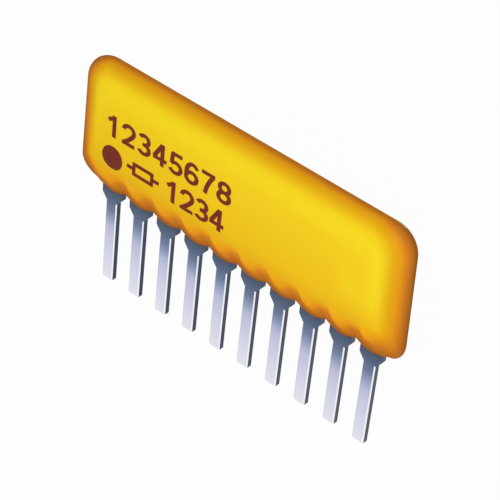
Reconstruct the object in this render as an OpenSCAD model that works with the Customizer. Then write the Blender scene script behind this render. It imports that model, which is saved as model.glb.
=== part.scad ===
// Single-in-line resistor network: thick-film resistors on a ceramic plate, clip leads and a dipped coating.
// The origin is the middle of the lead row on the seating plane. +X runs from the first lead to the last,
// +Z points away from the board and the marked face looks along -Y.

/* [Lead row] */
// Number of leads, two for each resistor
lead_count = 10; // [4:2:14]
// Distance between neighbouring leads
pitch = 2.54; // [2.3:0.02:2.9]
// Length of a blade below the seating plane
blade_l = 6.7; // [3:0.1:10]
// Width of a blade
blade_w = 0.98; // [0.8:0.02:1.2]
// Thickness of the strip that the leads are stamped from
lead_t = 0.46; // [0.38:0.02:0.5]
// Width of the coined bevel along the edges of a blade's faces
bevel_w = 0.1; // [0.04:0.01:0.14]
// Depth of the coined bevel
bevel_d = 0.04; // [0.02:0.01:0.1]
// Width of the shoulder that stops a lead at the board
shoulder_w = 1.8; // [1.6:0.02:2]
// Height of the slope from blade to shoulder
slope_h = 0.53; // [0.3:0.01:0.7]

/* [Clip] */
// Height above the seating plane at which the shoulder splits into three fingers
split_z = 2.7; // [2.6:0.05:3]
// Width of the middle finger, which bends round to the front
front_finger_w = 0.6; // [0.4:0.02:0.8]
// Width of the slits between the fingers
slit_w = 0.14; // [0.1:0.01:0.18]
// Inside radius of the middle finger's two bends
bend_r = 0.15; // [0.1:0.01:0.2]
// Height over which the fingers grip the substrate
grip_h = 1.6; // [1.2:0.05:2]

/* [Substrate] */
// Thickness of the ceramic plate
substrate_t = 0.5; // [0.4:0.02:0.6]
// Coating beyond the plate's two ends
end_cover = 0.9; // [0.6:0.05:1.4]
// Coating above the plate's upper edge
top_cover = 1; // [0.7:0.05:1.4]

/* [Printed films] */
// Thickness of one printed layer
film_t = 0.04; // [0.02:0.01:0.06]
// Width of a solder pad
pad_w = 1.4; // [1.2:0.05:1.6]
// Pad that shows above the front finger
pad_rise = 0.4; // [0.3:0.05:0.6]
// Bare plate below a pad
pad_gap = 0.2; // [0.1:0.05:0.4]
// Width of the terminal that climbs from a pad
terminal_w = 0.7; // [0.5:0.05:0.9]
// Height of a resistor film
resistor_h = 3.2; // [2:0.1:4]
// Gap between a solder pad and the resistor film above it
resistor_gap = 0.8; // [0.5:0.1:1.2]
// Overlap of a resistor film on each terminal
resistor_lap = 0.3; // [0.2:0.05:0.4]
// Width of the laser cut that trims a resistor
trim_w = 0.1; // [0.06:0.02:0.2]
// Length of the laser cut
trim_l = 1.7; // [1:0.1:1.9]
// Overglaze beyond the resistor films
glaze_margin = 0.3; // [0.2:0.05:0.4]

/* [Solder] */
// Solder beyond the front finger at the pad
solder_foot = 0.28; // [0.2:0.02:0.34]
// Height that the solder climbs up the front finger's edge
solder_climb = 0.3; // [0.2:0.02:0.34]

/* [Coating] */
// Coating beyond the centres of the outer leads
end_overhang = 2.5; // [2.2:0.05:3]
// Height of the coating's top above the seating plane
coat_top = 11.75; // [11:0.05:15]
// Thickness of the coating at the middle of the body
coat_t = 2.2; // [2.1:0.05:2.6]
// Radius of the two upper corners of the outline
top_corner_r = 2; // [1.6:0.1:2.4]
// Radius of the two lower corners of the outline
low_corner_r = 1.6; // [1.4:0.05:2.2]
// How much each end draws in from its lower to its upper corner
end_taper = 0.2; // [0:0.05:0.4]
// Share of the lean towards the lead row that the ends keep above their lower corners
end_lean = 0.3; // [0:0.05:0.8]
// Depth of the rounded rim at the top and the ends
rim_depth = 1.3; // [1:0.05:1.5]
// How far the face swells beyond its rim
face_crown = 0.17; // [0.1:0.01:0.22]
// Width of the swelling band inside the rim
crown_run = 2; // [1:0.1:2.4]
// Height of the lower edge in the creases between two leads
crease_z = 1.2; // [1.1:0.05:1.4]
// How far a lobe hangs down over its lead below the creases
lobe_drop = 0.4; // [0.3:0.05:0.5]
// How far a lobe swells out in front of the creases
lobe_swell = 0.1; // [0.04:0.01:0.14]
// Rounding of the lower edge
foot_r = 0.1; // [0.06:0.01:0.2]
// Height of the front slope above the creases
front_slope_h = 2.4; // [2.2:0.1:2.6]
// Height of the rear slope above the creases
rear_slope_h = 1.3; // [1:0.1:1.8]
// Share of the slopes' height that rounds over into the faces
slope_round = 0.3; // [0:0.05:0.4]
// Height of the face's lower border above the creases
face_rise = 3.4; // [3:0.1:4]

/* [Hidden] */
$fn = 48;
lead_list = [for (i = [1 : lead_count]) i];
resistor_list = [for (i = [1 : lead_count / 2]) i];

// Row and clip
outer_x = (lead_count - 1) * pitch / 2;
function lead_x(i) = (i - 1) * pitch - outer_x;
run_z = split_z + bend_r;
substrate_z = run_z + lead_t + bend_r;
finger_top = substrate_z + grip_h;
rear_finger_w = shoulder_w / 2 - front_finger_w / 2 - slit_w;

// Planes from the rear finger forward
substrate_back = -lead_t / 2;
substrate_front = substrate_back - substrate_t;
pad_front = substrate_front - film_t;
resistor_front = pad_front - film_t;
glaze_front = resistor_front - film_t;
finger_front = pad_front - lead_t;

// Heights of the films
pad_z = substrate_z + pad_gap;
pad_top = finger_top + pad_rise;
resistor_z = pad_top + resistor_gap;
resistor_top = resistor_z + resistor_h;

// Coating
coat_half = outer_x + end_overhang;
substrate_half = coat_half - end_cover;
substrate_top = coat_top - top_cover;
body_y = (finger_front + lead_t / 2) / 2;
rim_angle = 78;
slope_power = 4;
rim_half = (coat_t / 2 - face_crown) / sin(rim_angle);
rim_steps = 16;
crown_steps = 2;
lobe_steps = 8;
corner_steps = 7;
edge_steps = 10;
face_floor = crease_z + face_rise;

// Leads

module side_profile(width) {
    rotate([90, 0, 90])
        linear_extrude(width, center = true)
            children();
}

module front_profile(y, thickness) {
    translate([0, y, 0])
        rotate([90, 0, 0])
            linear_extrude(thickness)
                children();
}

module quarter_bend(centre, turn) {
    translate(centre)
        rotate(turn)
            difference() {
                intersection() {
                    circle(bend_r + lead_t);
                    square(bend_r + lead_t);
                }
                circle(bend_r);
            }
}

module blade() {
    w = blade_w / 2;
    t = lead_t / 2;
    translate([0, 0, -blade_l])
        linear_extrude(blade_l)
            polygon([
                [-w + bevel_w, -t], [w - bevel_w, -t], [w, -t + bevel_d], [w, t - bevel_d],
                [w - bevel_w, t], [-w + bevel_w, t], [-w, t - bevel_d], [-w, -t + bevel_d]
            ]);
}

module shoulder_outline() {
    w = shoulder_w / 2;
    polygon([
        [-blade_w / 2, 0], [blade_w / 2, 0], [w, slope_h], [w, split_z], [-w, split_z], [-w, slope_h]
    ]);
    for (side = [-1, 1])
        translate([side * (w - rear_finger_w / 2) - rear_finger_w / 2, split_z])
            square([rear_finger_w, finger_top - split_z]);
}

module front_finger_outline() {
    back_bend = [-lead_t / 2 - bend_r, split_z];
    front_bend = [pad_front + bend_r, substrate_z];
    quarter_bend(back_bend, 0);
    quarter_bend(front_bend, 180);
    translate([front_bend.x, run_z])
        square([back_bend.x - front_bend.x, lead_t]);
    translate([finger_front, substrate_z])
        square([lead_t, grip_h]);
}

module lead(i) {
    color("gainsboro")
        translate([lead_x(i), 0, 0]) {
            blade();
            front_profile(lead_t / 2, lead_t)
                shoulder_outline();
            side_profile(front_finger_w)
                front_finger_outline();
        }
}

// Substrate and printed films

module substrate() {
    color("white")
        front_profile(substrate_back, substrate_t)
            translate([-substrate_half, substrate_z])
                square([2 * substrate_half, substrate_top - substrate_z]);
}

module conductor(i) {
    color("silver")
        front_profile(substrate_front, film_t)
            translate([lead_x(i), 0]) {
                translate([-pad_w / 2, pad_z])
                    square([pad_w, pad_top - pad_z]);
                translate([-terminal_w / 2, pad_z])
                    square([terminal_w, resistor_top - pad_z]);
            }
}

module trim_cut(k) {
    middle = (lead_x(2 * k - 1) + lead_x(2 * k)) / 2;
    translate([middle - trim_w / 2, resistor_z - glaze_margin])
        square([trim_w, trim_l + glaze_margin]);
}

module resistor(k) {
    left = lead_x(2 * k - 1) + terminal_w / 2 - resistor_lap;
    right = lead_x(2 * k) - terminal_w / 2 + resistor_lap;
    color("black")
        difference() {
            front_profile(substrate_front, substrate_front - resistor_front)
                difference() {
                    translate([left, resistor_z])
                        square([right - left, resistor_h]);
                    trim_cut(k);
                }
            conductor(2 * k - 1);
            conductor(2 * k);
        }
}

module overglaze() {
    reach = outer_x + terminal_w / 2 + glaze_margin;
    color("darkgreen")
        difference() {
            front_profile(substrate_front, substrate_front - glaze_front)
                difference() {
                    translate([-reach, resistor_z - glaze_margin])
                        square([2 * reach, resistor_h + 2 * glaze_margin]);
                    for (k = resistor_list)
                        trim_cut(k);
                }
            for (i = lead_list)
                conductor(i);
            for (k = resistor_list)
                resistor(k);
        }
}

// Solder

module solder(i) {
    half = front_finger_w / 2;
    color("lightsteelblue")
        translate([lead_x(i), 0, 0])
            difference() {
                intersection() {
                    translate([0, 0, pad_z])
                        linear_extrude(pad_top - pad_z)
                            polygon([
                                [-half - solder_foot, pad_front], [half + solder_foot, pad_front],
                                [half, pad_front - solder_climb], [-half, pad_front - solder_climb]
                            ]);
                    side_profile(pad_w)
                        polygon([
                            [pad_front, pad_z], [pad_front, finger_top + solder_foot],
                            [pad_front - solder_climb, finger_top], [pad_front - solder_climb, pad_z]
                        ]);
                }
                side_profile(front_finger_w)
                    front_finger_outline();
            }
}

// Coating

function mix(a, b, share) = a + (b - a) * share;

function to_lead(x) =
    let (i = min(max(round((x + outer_x) / pitch), 0), lead_count - 1))
    min(abs(x - lead_x(i + 1)), pitch / 2);

function lobe(x) = cos(180 * to_lead(x) / pitch);

function middle_y(low) = mix(body_y, 0, low);

function reach(low, angle) = rim_half + sign(angle) * (body_y - middle_y(low));

// Distance beyond the flat underside, which is as wide as a lead is thick
function beyond_foot(out) =
    let (past = out - lead_t / 2)
    (past + sqrt(past * past + foot_r * foot_r)) / 2;

// Share of the way up the lower slope
function climb(low, angle) =
    let (out = reach(low, angle) * abs(sin(angle)))
    let (full = reach(low, angle) * sin(rim_angle))
    let (straight = (beyond_foot(out) - beyond_foot(0)) / (beyond_foot(full) - beyond_foot(0)))
    mix(straight, pow(straight, slope_power), slope_round);

function lower_z(x, low, angle, share) =
    let (slope_top = crease_z + (angle > 0 ? rear_slope_h : front_slope_h))
    let (rim_z = mix(crease_z - lobe_drop * lobe(x), slope_top, climb(low, angle)))
    mix(rim_z, face_floor, share);

function swell(x, low, angle) = angle < 0 ? lobe_swell * lobe(x) * low * sin(180 * climb(low, angle)) : 0;

function coat_y(low, angle, share) =
    let (rim_y = middle_y(low) + reach(low, angle) * sin(angle))
    let (face = body_y + sign(angle) * coat_t / 2)
    mix(rim_y, face, 1 - pow(1 - share, 2));

// One closed outline of the coating, at an angle round the rim and a share of the way across the crown
function outline(angle, share) =
    let (inset = rim_depth * (1 - cos(angle)))
    let (shrink = crown_run * share)
    let (low_r = low_corner_r - inset)
    let (top_r = top_corner_r - inset)
    let (low_straight = coat_half - low_corner_r)
    let (low_inner = low_straight - shrink)
    let (top_inner = coat_half - end_taper - top_corner_r - shrink)
    let (top = coat_top - inset - shrink)
    let (row_steps = lobe_steps * (lead_count - 1))
    let (turns = [for (k = [0 : corner_steps]) 90 * k / corner_steps])
    let (bottom = [
        for (k = [0 : row_steps])
            let (x = mix(-outer_x, outer_x, k / row_steps))
            let (y = coat_y(1, angle, share) - swell(x, 1, angle) * (1 - share))
            [x * low_inner / low_straight, y, lower_z(x, 1, angle, share)]
    ])
    let (low_corner = [
        for (a = turns)
            let (low = mix(end_lean, 1, pow(cos(a), 2)))
            let (x = low_straight + low_corner_r * sin(a))
            let (y = coat_y(low, angle, share) - swell(x, low, angle) * (1 - share))
            [low_inner + low_r * sin(a), y, lower_z(x, low, angle, share) + low_r * (1 - cos(a))]
    ])
    let (top_corner = [
        for (a = turns)
            [top_inner + top_r * cos(a), coat_y(0, angle, share), top - top_r * (1 - sin(a))]
    ])
    let (top_edge = [
        for (k = [1 : edge_steps - 1])
            [mix(top_inner, -top_inner, k / edge_steps), coat_y(0, angle, share), top]
    ])
    let (right = concat(low_corner, top_corner))
    let (left = [for (k = [len(right) - 1 : -1 : 0]) [-right[k].x, right[k].y, right[k].z]])
    concat(bottom, right, top_edge, left);

module coat_form() {
    stations = concat(
        [for (k = [crown_steps : -1 : 1]) [-rim_angle, k / crown_steps]],
        [for (k = [0 : rim_steps]) [mix(-rim_angle, rim_angle, k / rim_steps), 0]],
        [for (k = [1 : crown_steps]) [rim_angle, k / crown_steps]]
    );
    rings = [for (s = stations) outline(s[0], s[1])];
    n = len(rings[0]);
    last = len(rings) - 1;
    middle_z = mix(face_floor, coat_top, 0.5);
    points = concat(
        [for (ring = rings) each ring],
        [[0, body_y - coat_t / 2, middle_z], [0, body_y + coat_t / 2, middle_z]]
    );
    front_centre = n * len(rings);
    walls = [
        for (k = [0 : last - 1], j = [0 : n - 1])
            let (a = k * n + j)
            let (b = k * n + (j + 1) % n)
            each [[a, b, a + n], [b, b + n, a + n]]
    ];
    front = [for (j = [0 : n - 1]) [front_centre, (j + 1) % n, j]];
    back = [for (j = [0 : n - 1]) [front_centre + 1, last * n + j, last * n + (j + 1) % n]];
    polyhedron(points, concat(walls, front, back), convexity = 6);
}

module coating() {
    color("gold")
        difference() {
            coat_form();
            substrate();
            overglaze();
            for (i = lead_list) {
                lead(i);
                solder(i);
                conductor(i);
            }
            for (k = resistor_list)
                resistor(k);
        }
}

coating();
substrate();
overglaze();
for (i = lead_list) {
    lead(i);
    solder(i);
    conductor(i);
}
for (k = resistor_list)
    resistor(k);
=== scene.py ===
"""Looks of a single-in-line resistor network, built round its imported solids. Sizes are in millimetres."""

import math

import bmesh
import bpy
from mathutils import Matrix, Vector
from mathutils.bvhtree import BVHTree
from mathutils.geometry import delaunay_2d_cdt


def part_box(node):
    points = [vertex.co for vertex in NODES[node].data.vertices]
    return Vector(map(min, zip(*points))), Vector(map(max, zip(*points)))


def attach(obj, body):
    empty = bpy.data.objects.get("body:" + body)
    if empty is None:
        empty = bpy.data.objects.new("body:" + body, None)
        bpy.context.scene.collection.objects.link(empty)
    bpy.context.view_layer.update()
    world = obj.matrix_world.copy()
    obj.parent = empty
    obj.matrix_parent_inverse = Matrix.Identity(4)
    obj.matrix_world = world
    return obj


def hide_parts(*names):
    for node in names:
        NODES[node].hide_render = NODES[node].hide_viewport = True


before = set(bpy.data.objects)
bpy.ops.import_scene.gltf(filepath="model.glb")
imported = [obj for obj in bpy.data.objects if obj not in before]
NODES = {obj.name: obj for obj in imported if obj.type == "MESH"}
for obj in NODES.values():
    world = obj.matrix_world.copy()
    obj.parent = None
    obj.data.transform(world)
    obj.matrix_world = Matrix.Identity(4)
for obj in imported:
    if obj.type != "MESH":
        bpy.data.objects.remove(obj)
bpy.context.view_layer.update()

MM = 0.001


def box_mm(node):
    low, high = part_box(node)
    return low / MM, high / MM


# Sizes that the frame gives
LEADS = sorted((n for n in NODES if n.startswith("lead_")), key=lambda n: int(n.split("_")[1]))
LEAD_X = [sum(corner.x for corner in box_mm(n)) / 2 for n in LEADS]
PITCH = (LEAD_X[-1] - LEAD_X[0]) / (len(LEADS) - 1)
OUTER_X = (LEAD_X[-1] - LEAD_X[0]) / 2
TIP_Z = box_mm(LEADS[0])[0].z
LEAD_T = 2 * box_mm(LEADS[0])[1].y
COAT_LOW, COAT_HIGH = box_mm("coating")
COAT_HALF = COAT_HIGH.x
COAT_TOP = COAT_HIGH.z
COAT_T = COAT_HIGH.y - COAT_LOW.y
BODY_Y = (COAT_HIGH.y + COAT_LOW.y) / 2

# Form of the coating, as the solid has it
TOP_CORNER_R = 2.0
LOW_CORNER_R = 1.6
END_TAPER = 0.2
END_LEAN = 0.3
RIM_DEPTH = 1.3
FACE_CROWN = 0.17
CROWN_RUN = 2.0
LOBE_DROP = 0.4
LOBE_SWELL = 0.1
FOOT_R = 0.1
FRONT_SLOPE_H = 2.4
REAR_SLOPE_H = 1.3
SLOPE_ROUND = 0.3
SLOPE_POWER = 4
FACE_RISE = 3.4
RIM_ANGLE = math.radians(78)
RIM_HALF = (COAT_T / 2 - FACE_CROWN) / math.sin(RIM_ANGLE)
CREASE_Z = COAT_LOW.z + LOBE_DROP
FACE_FLOOR = CREASE_Z + FACE_RISE

# Fineness of the coating's mesh
RIM_STEPS = 32
CROWN_STEPS = 8
LOBE_STEPS = 24
CORNER_STEPS = 18
EDGE_STEPS = 40

# Painted shade lines past the creases, at the foot of the front: their places, fading and strength
SHADE_LINE_AT_FOOT = 1.3
SHADE_LINE_AT_TOP = 0.75
FADE_AT_FOOT = 2.4
FADE_AT_TOP = 0.1
SHADE_MOST = 0.8
GROWTH_POWER = 1.5
HEIGHT_POWER = 0.35

# Painted shade behind the rim, and towards the ends along x
BACK_EDGE_LIGHT = -0.3
RIGHT_END_SHADE = {"start": COAT_HALF - 3.33, "end": COAT_HALF - 0.73, "most": 0.44}
LEFT_END_SHADE = {"start": 2.53 - COAT_HALF, "end": 0.33 - COAT_HALF, "most": 0.95}

# Heights between which amber turns to yellow, as they change along x: painted shade low down, and a painted
# highlight that brings the yellow lower towards the right
AMBER_TOP = {"start": COAT_HALF - 5.93, "end": COAT_HALF - 3.93, "least": 2.8, "most": 3.8}
AMBER_DROP = {"start": COAT_HALF - 1.93, "end": COAT_HALF - 0.73, "most": 4.0}
YELLOW_FOOT = {"start": COAT_HALF - 5.93, "end": COAT_HALF - 3.93, "least": 9.5, "most": 6.2}

# Leads: faces told apart by how far they face along x, and the strip's grain in waves to a millimetre
SIDE_FACING = 0.9
BEVEL_FACING = 0.15
DRAWN_GRAIN = (8, 8, 0.4)

# Print on the front face: places in x, from the first lead, and z
DOT_CENTRE = (LEAD_X[0] + 1.03, 4.98)
DOT_R = 0.93
DIGIT_H = 1.72
UPPER_ROW = {"left": LEAD_X[0] + 0.33, "base": 6.65, "width": 11.1}
LOWER_ROW = {"left": LEAD_X[0] + 5.83, "base": 4.3, "width": 5.2}
SIGN_CENTRE = (LEAD_X[0] + 3.83, 5.14)
SIGN_HALF = 1.45
SIGN_BOX_HALF_W = 0.81
SIGN_BOX_HALF_H = 0.4
SIGN_OVERLAP = 0.11
SIGN_LINE_W = 0.28

# View: the camera's place comes from the row of leads and the outline of the body
VIEW_AZIMUTH = 37.29
VIEW_ELEVATION = 38.16
VIEW_ROLL = -6.42
VIEW_LENS = 160.76
SENSOR_W = 36.0
NEAREST_SEEN = 10

# The origin as the camera sees it: so far to the right, down and ahead
ORIGIN_IN_VIEW = Vector((-0.791, 1.863, 148.03))

# Stage
FLOOR_HALF = 3000
FLOOR_GLOW = 0.96
AMBIENT = 0.25
PAPER = (0.92, 0.92, 0.92, 1)
WHITE = (1, 1, 1, 1)


def srgb(red, green, blue):
    """A linear colour from display values of 0 to 255."""
    def linear(value):
        share = value / 255
        return share / 12.92 if share <= 0.04045 else ((share + 0.055) / 1.055) ** 2.4

    return (linear(red), linear(green), linear(blue), 1.0)


def mix(a, b, share):
    return a + (b - a) * share


def link_object(name, data):
    obj = bpy.data.objects.new(name, data)
    bpy.context.scene.collection.objects.link(obj)
    return obj


# Coating

def lobe(x):
    """1 at a lead, falling to 0 in the creases between two leads."""
    to_lead = min(min(abs(x - lead) for lead in LEAD_X), PITCH / 2)
    return math.cos(math.pi * to_lead / PITCH)


def side_of(angle):
    """-1 in front, 1 behind and 0 at the middle of the rim."""
    return (angle > 0) - (angle < 0)


def middle_y(low):
    """Middle of the rim: low is 1 at the leads and 0 away from them."""
    return mix(BODY_Y, 0, low)


def reach(low, angle):
    """How far the rim reaches from its middle to the face on that side."""
    return RIM_HALF + side_of(angle) * (BODY_Y - middle_y(low))


def beyond_foot(out):
    """Distance beyond the flat underside, which is as wide as a lead is thick."""
    past = out - LEAD_T / 2
    return (past + math.hypot(past, FOOT_R)) / 2


def climb(low, angle):
    """Share of the way up the lower slope."""
    out = reach(low, angle) * abs(math.sin(angle))
    full = reach(low, angle) * math.sin(RIM_ANGLE)
    straight = (beyond_foot(out) - beyond_foot(0)) / (beyond_foot(full) - beyond_foot(0))
    return mix(straight, straight ** SLOPE_POWER, SLOPE_ROUND)


def coat_y(low, angle, share):
    """Depth of the coat: angle goes round the rim, and share from the rim on to the flat of a face."""
    rim_y = middle_y(low) + reach(low, angle) * math.sin(angle)
    face = BODY_Y + side_of(angle) * COAT_T / 2
    return mix(rim_y, face, 1 - (1 - share) ** 2)


def lower_y(x, low, angle, share):
    """Depth along the lower edge, where the front swells at the lobes."""
    swell = LOBE_SWELL * lobe(x) * low * math.sin(math.pi * climb(low, angle)) if angle < 0 else 0.0
    return coat_y(low, angle, share) - swell * (1 - share)


def lower_z(x, low, angle, share):
    """Height along the lower edge, which drops at the lobes."""
    slope_top = CREASE_Z + (REAR_SLOPE_H if angle > 0 else FRONT_SLOPE_H)
    rim_z = mix(CREASE_Z - LOBE_DROP * lobe(x), slope_top, climb(low, angle))
    return mix(rim_z, FACE_FLOOR, share)


def painted_light_at(angle, share):
    """Painted light over the rim: 0 at the middle of the rim, 1 at the edge of a face and 2 on the face; the
    lower it is, the darker the painted shade.
    """
    behind = angle / RIM_ANGLE
    return (mix(BACK_EDGE_LIGHT, 1, behind) if angle > 0 else -behind) + share


def foot_shade(x, angle, share):
    """Painted shade at the foot of the front: it grows towards each painted shade line and fades past it."""
    if share > 0 or angle > 0:
        return 0.0
    height = climb(1, angle)
    first_line = LEAD_X[0] - PITCH / 2 + mix(SHADE_LINE_AT_FOOT, SHADE_LINE_AT_TOP, height)
    past = (x - first_line) % PITCH
    fading = 1 - past / mix(FADE_AT_TOP, FADE_AT_FOOT, (1 - height) ** 2)
    growing = (past / PITCH) ** GROWTH_POWER
    return SHADE_MOST * max(fading, growing) * (1 - height) ** HEIGHT_POWER


def outline(angle, share):
    """One closed outline of the coating as (x, y, z, painted light) rows."""
    inset = RIM_DEPTH * (1 - math.cos(angle))
    shrink = CROWN_RUN * share
    low_r = LOW_CORNER_R - inset
    top_r = TOP_CORNER_R - inset
    low_straight = COAT_HALF - LOW_CORNER_R
    low_inner = low_straight - shrink
    top_inner = COAT_HALF - END_TAPER - TOP_CORNER_R - shrink
    top = COAT_TOP - inset - shrink
    flat_y = coat_y(0, angle, share)
    painted_light = painted_light_at(angle, share)
    turns = [math.pi / 2 * k / CORNER_STEPS for k in range(CORNER_STEPS + 1)]

    def end(side):
        rows = []
        for turn in turns:
            low = mix(END_LEAN, 1, math.cos(turn) ** 2)
            x = low_straight + LOW_CORNER_R * math.sin(turn)
            y = lower_y(x, low, angle, share)
            z = lower_z(x, low, angle, share) + low_r * (1 - math.cos(turn))
            rows.append((side * (low_inner + low_r * math.sin(turn)), y, z, painted_light))
        for turn in turns:
            x = top_inner + top_r * math.cos(turn)
            z = top - top_r * (1 - math.sin(turn))
            rows.append((side * x, flat_y, z, painted_light))
        return rows

    bottom = []
    row_steps = LOBE_STEPS * (len(LEADS) - 1)
    for k in range(row_steps + 1):
        x = mix(-OUTER_X, OUTER_X, k / row_steps)
        y = lower_y(x, 1, angle, share)
        z = lower_z(x, 1, angle, share)
        # The foot of the front is painted darker as shade, past each crease.
        bottom.append((x * low_inner / low_straight, y, z, painted_light - foot_shade(x, angle, share)))
    edge = []
    for k in range(1, EDGE_STEPS):
        edge.append((mix(top_inner, -top_inner, k / EDGE_STEPS), flat_y, top, painted_light))
    return bottom + end(1) + edge + end(-1)[::-1]


def coat_stations():
    """Angles and shares of the outlines, from the flat of the front face to that of the rear face."""
    crown = [k / CROWN_STEPS for k in range(1, CROWN_STEPS + 1)]
    front = [(-RIM_ANGLE, share) for share in reversed(crown)]
    rim = [(mix(-RIM_ANGLE, RIM_ANGLE, k / RIM_STEPS), 0.0) for k in range(RIM_STEPS + 1)]
    rear = [(RIM_ANGLE, share) for share in crown]
    return front + rim + rear


def skin_faces(rings, count):
    """Faces between rings of so many points each, and to the two middle points that come after them."""
    faces = []
    for k in range(rings - 1):
        for j in range(count):
            a = k * count + j
            b = k * count + (j + 1) % count
            faces.append((a, b, b + count, a + count))
    last = (rings - 1) * count
    middle = rings * count
    for j in range(count):
        following = (j + 1) % count
        faces.append((middle, following, j))
        faces.append((middle + 1, last + j, last + following))
    return faces


def make_coat():
    rings = [outline(angle, share) for angle, share in coat_stations()]
    rows = [row for ring in rings for row in ring]
    middle_z = (FACE_FLOOR + COAT_TOP) / 2
    for side in (-1, 1):
        rows.append((0, BODY_Y + side * COAT_T / 2, middle_z, painted_light_at(side * RIM_ANGLE, 1)))
    points = [Vector(row[:3]) * MM for row in rows]
    mesh = bpy.data.meshes.new("coat")
    mesh.from_pydata(points, [], skin_faces(len(rings), len(rings[0])))
    painted_light = mesh.attributes.new("painted_light", "FLOAT", "POINT")
    painted_light.data.foreach_set("value", [row[3] for row in rows])
    form = bmesh.new()
    form.from_mesh(mesh)
    bmesh.ops.recalc_face_normals(form, faces=form.faces)
    form.to_mesh(mesh)
    form.free()
    mesh.shade_smooth()
    return link_object("coat", mesh)


# Materials

class Nodes:
    """A tree of shader nodes."""

    def __init__(self, tree):
        self.tree = tree

    def add(self, kind, inputs=None, **settings):
        """Adds a node, with a value or another node's output for each input given."""
        made = self.tree.nodes.new("ShaderNode" + kind)
        for name, value in settings.items():
            setattr(made, name, value)
        for key, value in (inputs or {}).items():
            self.put(made.inputs[key], value)
        return made

    def put(self, socket, value):
        if isinstance(value, bpy.types.NodeSocket):
            self.tree.links.new(value, socket)
        else:
            socket.default_value = value

    def math(self, operation, *values):
        return self.add("Math", dict(enumerate(values)), operation=operation).outputs[0]


class Shader(Nodes):
    """A node material with one Principled shader."""

    def __init__(self, name, **values):
        self.material = bpy.data.materials.new(name)
        self.material.use_nodes = True
        super().__init__(self.material.node_tree)
        self.surface = self.tree.nodes["Principled BSDF"]
        for socket, value in values.items():
            self.surface.inputs[socket.replace("_", " ")].default_value = value

    def place(self):
        """Where a point is on the object, in millimetres."""
        metres = self.add("TexCoord").outputs["Object"]
        scaled = self.add("VectorMath", {"Vector": metres, "Scale": 1 / MM}, operation="SCALE")
        return scaled.outputs["Vector"]

    def noise(self, scale, detail=2.0, vector=None):
        """Noise at so many waves to a millimetre, or to a unit of the vector."""
        inputs = {"Vector": vector or self.place(), "Scale": scale, "Detail": detail}
        return self.add("TexNoise", inputs).outputs["Fac"]

    def spread(self, share, least, most):
        """Spreads a share, from 0 to 1, between two values."""
        return self.add("MapRange", {"Value": share, "To Min": least, "To Max": most}).outputs["Result"]

    def fade(self, value, start, end, least=0.0, most=1.0):
        """Goes smoothly from least to most as a value goes from start to end."""
        inputs = {"Value": value, "From Min": start, "From Max": end, "To Min": least, "To Max": most}
        return self.add("MapRange", inputs, interpolation_type="SMOOTHSTEP").outputs["Result"]

    def ramp(self, value, stops):
        """Colour of a value, between stops of a value and its colour each."""
        low, high = stops[0][0], stops[-1][0]
        share = self.add("MapRange", {"Value": value, "From Min": low, "From Max": high})
        made = self.add("ValToRGB", {"Fac": share.outputs["Result"]})
        elements = made.color_ramp.elements
        while len(elements) < len(stops):
            elements.new(1.0)
        for element, (stop, colour) in zip(elements, stops):
            element.position = (stop - low) / (high - low)
            element.color = colour
        return made.outputs["Color"]

    def blend(self, share, first, second):
        """Colour at a share of the way from the first to the second: a Mix node has these at 6, 7 and 2."""
        return self.add("Mix", {0: share, 6: first, 7: second}, data_type="RGBA").outputs[2]

    def bump(self, height, distance, strength):
        made = self.add("Bump", {"Height": height, "Distance": distance * MM, "Strength": strength})
        self.put(self.surface.inputs["Normal"], made.outputs["Normal"])

    def colour(self, value):
        self.put(self.surface.inputs["Base Color"], value)

    def roughness(self, value):
        self.put(self.surface.inputs["Roughness"], value)


def epoxy():
    """Dipped epoxy, yellow, with painted shade: amber low down and burnt orange over its rim, its ends and
    the foot of its front; a painted highlight brings the yellow lower towards the right.
    """
    look = Shader("epoxy", Specular_IOR_Level=0.0, Coat_Weight=0.05, Coat_Roughness=0.12)
    place = look.add("SeparateXYZ", {"Vector": look.place()})
    across, height = place.outputs["X"], place.outputs["Z"]
    # The attribute read here is painted light: low values paint shade over the rim and at the foot of the
    # front.
    painted_light = look.add("Attribute", attribute_name="painted_light").outputs["Fac"]
    # Painted shade towards both ends along x, strongest at the left end.
    for end_shade in (RIGHT_END_SHADE, LEFT_END_SHADE):
        painted_light = look.math("SUBTRACT", painted_light, look.fade(across, **end_shade))
    # Both ramps turn the painted light into colour: burnt orange as painted shade, yellow where it is lit.
    upper = look.ramp(painted_light, [
        (-0.60, srgb(178, 98, 34)),
        (-0.10, srgb(204, 119, 34)),
        (0.13, srgb(222, 138, 26)),
        (0.26, srgb(226, 152, 22)),
        (0.51, srgb(224, 166, 20)),
        (0.77, srgb(233, 188, 26)),
        (1.00, srgb(241, 208, 32)),
        (1.25, srgb(245, 216, 34)),
        (1.50, srgb(245, 214, 34)),
        (2.00, srgb(244, 208, 33)),
    ])
    lower = look.ramp(painted_light, [
        (-0.60, srgb(168, 90, 27)),
        (0.00, srgb(196, 108, 28)),
        (0.26, srgb(214, 124, 28)),
        (0.38, srgb(226, 136, 26)),
        (0.51, srgb(240, 158, 24)),
        (0.77, srgb(243, 179, 24)),
        (1.00, srgb(242, 187, 25)),
        (1.20, srgb(240, 188, 26)),
        (2.00, srgb(240, 190, 26)),
    ])
    # Painted shade low down: amber below and yellow above, with the yellow reaching lower towards the right
    # as a painted highlight.
    amber_top = look.math("SUBTRACT", look.fade(across, **AMBER_TOP), look.fade(across, **AMBER_DROP))
    yellow_foot = look.fade(across, **YELLOW_FOOT)
    tone = look.blend(look.fade(height, amber_top, yellow_foot), lower, upper)
    cloud = look.spread(look.noise(scale=0.25, detail=3.0), least=0.0, most=0.12)
    look.colour(look.blend(cloud, tone, srgb(232, 176, 20)))
    look.roughness(look.spread(look.noise(scale=1.5), least=0.26, most=0.34))
    look.bump(look.noise(scale=0.6), distance=0.02, strength=0.2)
    return look.material


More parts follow.
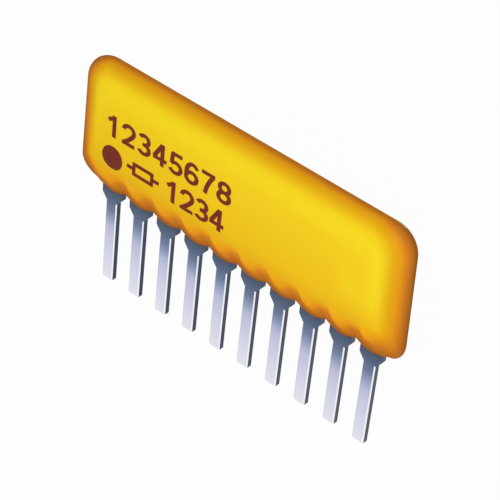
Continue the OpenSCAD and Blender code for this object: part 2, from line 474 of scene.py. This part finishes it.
def tin():
    """Tinned strip, with a painted reflection that runs dark at the coating to bright at the tip, painted
    shade under the coating and on the sheared sides, and a painted highlight along one bevel.
    """
    look = Shader("tin", Metallic=1.0)
    place = look.place()
    height = look.add("SeparateXYZ", {"Vector": place}).outputs["Z"]
    # Painted reflection and painted shade on the front: dark at the coating, bright at the tip.
    front = look.ramp(height, [
        (TIP_Z, srgb(228, 228, 238)),
        (-4.0, srgb(209, 210, 230)),
        (-2.5, srgb(194, 194, 221)),
        (-2.0, srgb(179, 185, 212)),
        (-1.5, srgb(149, 163, 194)),
        (-0.7, srgb(111, 126, 156)),
        (0.1, srgb(90, 105, 133)),
        (0.5, srgb(82, 98, 121)),
        (1.1, srgb(74, 80, 96)),
    ])
    # Painted shade on the sheared sides: dark slate.
    sheared = look.ramp(height, [
        (-0.6, srgb(49, 58, 78)),
        (1.4, srgb(66, 76, 94)),
    ])
    # Painted highlight: a bright line along the bevel that faces right, below the coating.
    bevel_highlight = srgb(246, 247, 252)
    normal = look.add("NewGeometry").outputs["Normal"]
    facing = look.add("SeparateXYZ", {"Vector": normal}).outputs["X"]
    on_side = look.math("GREATER_THAN", look.math("ABSOLUTE", facing), SIDE_FACING)
    on_bevel = look.math("LESS_THAN", facing, SIDE_FACING)
    for limit in (look.math("GREATER_THAN", facing, BEVEL_FACING), look.math("LESS_THAN", height, 0.0)):
        on_bevel = look.math("MULTIPLY", on_bevel, limit)
    look.colour(look.blend(on_bevel, look.blend(on_side, front, sheared), bevel_highlight))
    grain = look.add("Mapping", {"Vector": place, "Scale": DRAWN_GRAIN}).outputs["Vector"]
    drawn = look.noise(scale=1.0, detail=3.0, vector=grain)
    look.roughness(look.spread(drawn, least=0.2, most=0.3))
    look.bump(drawn, distance=0.004, strength=0.1)
    return look.material


def plain(name, dark, light, grain, **values):
    """A material whose colour wanders between two tones, with a fine grain."""
    look = Shader(name, **values)
    look.colour(look.ramp(look.noise(scale=grain, detail=4.0), [(0.3, dark), (0.7, light)]))
    look.bump(look.noise(scale=grain * 3), distance=0.01, strength=0.3)
    return look.material


def alumina():
    return plain("alumina", srgb(226, 224, 216), srgb(242, 240, 234), 2.0, Roughness=0.6)


def fired_silver():
    return plain("fired_silver", srgb(168, 168, 166), srgb(200, 200, 198), 6.0, Metallic=1.0, Roughness=0.45)


def resistor_paste():
    return plain("resistor_paste", srgb(24, 24, 26), srgb(44, 44, 46), 6.0, Roughness=0.5)


def green_glass():
    return plain("green_glass", srgb(24, 70, 48), srgb(38, 92, 62), 3.0, Roughness=0.15)


def solder():
    return plain("solder", srgb(150, 153, 158), srgb(190, 192, 196), 5.0, Metallic=1.0, Roughness=0.3)


def ink():
    return plain("ink", srgb(111, 38, 24), srgb(122, 45, 29), 4.0, Roughness=0.6, Specular_IOR_Level=0.1)


def dress(material, slot_name, *objects):
    for obj in objects:
        obj.data.materials.clear()
        obj.data.materials.append(material)


# Strokes of the print

ARC_STEP = 6
BEND_STEPS = 12
SAME_SPOT = 1e-5
INSIDE_ONLY = 1


def arc(x, z, half_w, half_h, start, end):
    """Points along part of an ellipse, from one angle in degrees to another."""
    count = math.ceil(abs(end - start) / ARC_STEP)
    turns = [math.radians(mix(start, end, k / count)) for k in range(count + 1)]
    return [(x + half_w * math.cos(turn), z + half_h * math.sin(turn)) for turn in turns]


def bend(start, pull, end):
    """Points along a curve between two ends that leans to a third point."""
    points = []
    for k in range(BEND_STEPS + 1):
        share = k / BEND_STEPS
        points.append(tuple(
            mix(mix(a, b, share), mix(b, c, share), share) for a, b, c in zip(start, pull, end)
        ))
    return points


# Middle lines of the digits' strokes, in shares of a digit's height
STROKE_W = 0.168
DIGIT_W = 0.62
DIGIT_STRETCH = 1.18
BASE = STROKE_W / 2
HEAD = 1 - STROKE_W / 2
DIGITS = {
    "1": [[(0.36, 0), (0.36, 1)], [(0.09, 0.715), (0.36, 0.915)]],
    "2": [
        arc(0.31, 0.675, 0.2275, 0.2425, 175, -30) + bend((0.507, 0.554), (0.40, 0.365), (0.115, 0.09))[1:],
        [(0.03, BASE), (0.59, BASE)],
    ],
    "3": [
        arc(0.30, 0.71, 0.20, 0.2075, 155, -90) + [(0.235, 0.5025)],
        [(0.235, 0.5025)] + arc(0.30, 0.2925, 0.2275, 0.21, 90, -155),
    ],
    "4": [[(0.42, 0), (0.42, 1)], [(0.02, 0.2925), (0.62, 0.2925)], [(0.40, 0.96), (0.075, 0.33)]],
    "5": [
        [(0.14, HEAD), (0.57, HEAD)],
        [(0.175, 0.96), (0.135, 0.46)],
        arc(0.30, 0.315, 0.2375, 0.2325, 145, -155),
    ],
    "6": [
        arc(0.31, 0.31, 0.2275, 0.2275, 0, 360),
        arc(0.335, 0.5, 0.2525, 0.4175, 40, 180) + [(0.0825, 0.31)],
    ],
    "7": [[(0.03, HEAD), (0.59, HEAD)], bend((0.53, 0.9), (0.28, 0.52), (0.225, 0))],
    "8": [arc(0.31, 0.715, 0.20, 0.2025, 0, 360), arc(0.31, 0.2975, 0.2275, 0.215, 0, 360)],
}


def sign_strokes():
    """Middle lines of the resistor sign: a box between two short lines."""
    x, z = SIGN_CENTRE
    left, right = x - SIGN_BOX_HALF_W, x + SIGN_BOX_HALF_W
    low, high = z - SIGN_BOX_HALF_H, z + SIGN_BOX_HALF_H
    return [
        [(x - SIGN_HALF, z), (left + SIGN_OVERLAP, z)],
        [(left, low), (right, low), (right, high), (left, high), (left, low)],
        [(right - SIGN_OVERLAP, z), (x + SIGN_HALF, z)],
    ]


def stroke_sides(stroke, width):
    """The two edges of a stroke round its middle line."""
    closed = math.dist(stroke[0], stroke[-1]) < SAME_SPOT
    ways = [(Vector(b) - Vector(a)).normalized() for a, b in zip(stroke, stroke[1:])]
    before = [ways[-1] if closed else ways[0]] + ways
    after = ways + [ways[0] if closed else ways[-1]]
    left, right = [], []
    for spot, a, b in zip(stroke, before, after):
        along = (a + b).normalized()
        out = Vector((-along.y, along.x)) * width / 2 / along.dot(b)
        left.append(Vector(spot) + out)
        right.append(Vector(spot) - out)
    return left, right


def joined(strokes, width):
    """Points and faces of one flat shape, made of strokes that run into one another."""
    points, cells = [], []
    for stroke in strokes:
        first = len(points)
        left, right = stroke_sides(stroke, width)
        points += left + right
        for a in range(first, first + len(stroke) - 1):
            b = a + len(stroke)
            cells.append((b, b + 1, a + 1, a))
    corners, _, faces, _, _, sources = delaunay_2d_cdt(points, [], cells, INSIDE_ONLY, SAME_SPOT, True)
    return corners, [face for face, source in zip(faces, sources) if source]


# Print

class Print:
    """Thin ink shapes that follow the coating's front face."""

    # Skin: 1 outward puts all of its thickness outside the coating, and -1 inside
    THICKNESS = 0.02
    OUTWARD = 0.4

    # Mesh: the grid that it is cut along, its finest detail, and what counts as on a line or flat
    GRID = 0.4
    FINEST = 0.005
    ON_LINE = 1e-6
    FLAT_ANGLE = 0.01

    FRONT = Vector((0, -1, 0))

    def __init__(self, coat, material):
        points = [vertex.co for vertex in coat.data.vertices]
        faces = [polygon.vertices for polygon in coat.data.polygons]
        self.surface = BVHTree.FromPolygons(points, faces)
        self.material = material

    def flat(self, points, faces):
        """A flat mesh in x and z, without edges that it has no need of."""
        form = bmesh.new()
        corners = [form.verts.new(Vector((x, 0, z)) * MM) for x, z in points]
        for face in faces:
            form.faces.new([corners[k] for k in face])
        bmesh.ops.remove_doubles(form, verts=form.verts, dist=self.FINEST * MM)
        bmesh.ops.dissolve_limit(form, angle_limit=self.FLAT_ANGLE, verts=form.verts, edges=form.edges)
        form.normal_update()
        return form

    def divide(self, form):
        """Cuts a flat mesh along a grid and into triangles, so that it can follow the face."""
        step = self.GRID * MM
        for axis in (0, 2):
            values = [vertex.co[axis] for vertex in form.verts]
            way = Vector()
            way[axis] = 1
            for k in range(math.ceil(min(values) / step), math.floor(max(values) / step) + 1):
                cut = {"plane_co": way * k * step, "plane_no": way, "dist": self.ON_LINE * MM}
                bmesh.ops.bisect_plane(form, geom=[*form.verts, *form.edges, *form.faces], **cut)
        bmesh.ops.triangulate(form, faces=form.faces)
        bmesh.ops.dissolve_degenerate(form, dist=self.FINEST * MM, edges=form.edges)

    def drape(self, form):
        """Turns a flat mesh to the front and moves its points on to the face."""
        for face in form.faces:
            if face.normal.dot(self.FRONT) < 0:
                face.normal_flip()
        for vertex in form.verts:
            hit = self.surface.ray_cast(vertex.co + self.FRONT, -self.FRONT)[0]
            vertex.co.y = hit.y

    def lay(self, name, points, faces):
        """Lays a flat shape, drawn in x and z, on the face."""
        form = self.flat(points, faces)
        self.divide(form)
        self.drape(form)
        mesh = bpy.data.meshes.new(name)
        form.to_mesh(mesh)
        form.free()
        obj = link_object(name, mesh)
        skin = obj.modifiers.new("thickness", "SOLIDIFY")
        skin.thickness = self.THICKNESS * MM
        skin.offset = self.OUTWARD
        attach(obj, "root")
        dress(self.material, "ink", obj)

    def digits(self, name, text, left, base, width):
        """Lays a row of digits that fills a width."""
        points, faces = [], []
        stretch = DIGIT_H * DIGIT_STRETCH
        advance = (width - DIGIT_W * stretch) / (len(text) - 1)
        for k, digit in enumerate(text):
            corners, cells = joined(DIGITS[digit], STROKE_W)
            faces += [[len(points) + corner for corner in cell] for cell in cells]
            points += [(left + advance * k + stretch * x, base + DIGIT_H * z) for x, z in corners]
        self.lay(name, points, faces)


# Floor, world, lamps and camera

def seen_directly(nodes):
    """1 for the rays that show the background itself: from the camera, from gloss and through glass."""
    path = nodes.add("LightPath").outputs
    seen = path["Is Camera Ray"]
    for name in ("Is Glossy Ray", "Is Transmission Ray"):
        seen = nodes.add("Math", {0: seen, 1: path[name]}, use_clamp=True).outputs[0]
    return seen


def make_floor():
    """A floor at the tips of the leads: white where it is seen, and paper to the light that falls on it."""
    half = FLOOR_HALF * MM
    corners = [(-half, -half), (half, -half), (half, half), (-half, half)]
    mesh = bpy.data.meshes.new("floor")
    mesh.from_pydata([(x, y, TIP_Z * MM) for x, y in corners], [], [(0, 1, 2, 3)])
    floor = link_object("floor", mesh)
    material = bpy.data.materials.new("paper")
    material.use_nodes = True
    nodes = Nodes(material.node_tree)
    nodes.tree.nodes.clear()
    paper = nodes.add("BsdfDiffuse", {"Color": PAPER}).outputs[0]
    white = nodes.add("Emission").outputs[0]
    glow = nodes.math("MULTIPLY", seen_directly(nodes), FLOOR_GLOW)
    both = nodes.add("MixShader", {"Fac": glow, 1: paper, 2: white}).outputs[0]
    nodes.add("OutputMaterial", {"Surface": both})
    mesh.materials.append(material)


def make_world():
    """White where it is seen, and dimmer to the surfaces that it lights."""
    world = bpy.data.worlds.new("studio")
    world.use_nodes = True
    nodes = Nodes(world.node_tree)
    sky = nodes.tree.nodes["Background"]
    strength = nodes.add("MapRange", {"Value": seen_directly(nodes), "To Min": AMBIENT, "To Max": 1.0})
    nodes.put(sky.inputs["Color"], WHITE)
    nodes.put(sky.inputs["Strength"], strength.outputs["Result"])
    bpy.context.scene.world = world


def softbox(name, direction, distance, size, level):
    """A round lamp that alone lights a facing surface to the given share of plain white."""
    lamp = bpy.data.lights.new(name, "AREA")
    lamp.shape = "DISK"
    lamp.size = size * MM
    lamp.energy = level * (math.pi * distance * MM) ** 2
    obj = link_object(name, lamp)
    way = Vector(direction).normalized()
    middle = Vector((0, BODY_Y, COAT_TOP / 2))
    obj.location = (middle + way * distance) * MM
    obj.rotation_euler = (-way).to_track_quat("-Z", "Y").to_euler()


def make_camera():
    azimuth, elevation = math.radians(VIEW_AZIMUTH), math.radians(VIEW_ELEVATION)
    roll = math.radians(VIEW_ROLL)
    level = math.cos(elevation)
    forward = Vector((-math.sin(azimuth) * level, math.cos(azimuth) * level, -math.sin(elevation)))
    flat_right = Vector((math.cos(azimuth), math.sin(azimuth), 0))
    flat_down = forward.cross(flat_right)
    right = flat_right * math.cos(roll) + flat_down * math.sin(roll)
    down = flat_down * math.cos(roll) - flat_right * math.sin(roll)
    to_origin = right * ORIGIN_IN_VIEW.x + down * ORIGIN_IN_VIEW.y + forward * ORIGIN_IN_VIEW.z
    data = bpy.data.cameras.new("camera")
    data.sensor_width = SENSOR_W
    data.lens = VIEW_LENS
    data.clip_start = NEAREST_SEEN * MM
    camera = link_object("camera", data)
    camera.matrix_world = Matrix((right, -down, -forward)).transposed().to_4x4()
    camera.location = -to_origin * MM
    bpy.context.scene.camera = camera


make_camera()
coat = make_coat()
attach(coat, "root")
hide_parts("coating")
dress(epoxy(), "coating", coat)

for kind, slot_name, material in (
    ("lead", "lead", tin()),
    ("substrate", "substrate", alumina()),
    ("conductor", "conductor", fired_silver()),
    ("resistor", "resistor_film", resistor_paste()),
    ("overglaze", "overglaze", green_glass()),
    ("solder", "solder", solder()),
):
    dress(material, slot_name, *[obj for name, obj in NODES.items() if name.split("_")[0] == kind])

stamp = Print(coat, ink())
dot_edge = arc(*DOT_CENTRE, DOT_R, DOT_R, 0, 360)[:-1]
stamp.lay("first_lead_dot", dot_edge, [range(len(dot_edge))])
stamp.digits("upper_digits", "12345678", **UPPER_ROW)
stamp.digits("lower_digits", "1234", **LOWER_ROW)
stamp.lay("resistor_sign", *joined(sign_strokes(), SIGN_LINE_W))

make_floor()
make_world()
softbox("key", direction=(0.3, -0.7, 0.6), distance=200, size=160, level=0.79)
softbox("fill", direction=(-0.2, 0.95, 0.06), distance=200, size=40, level=0.45)
bpy.context.scene.view_settings.view_transform = "Standard"
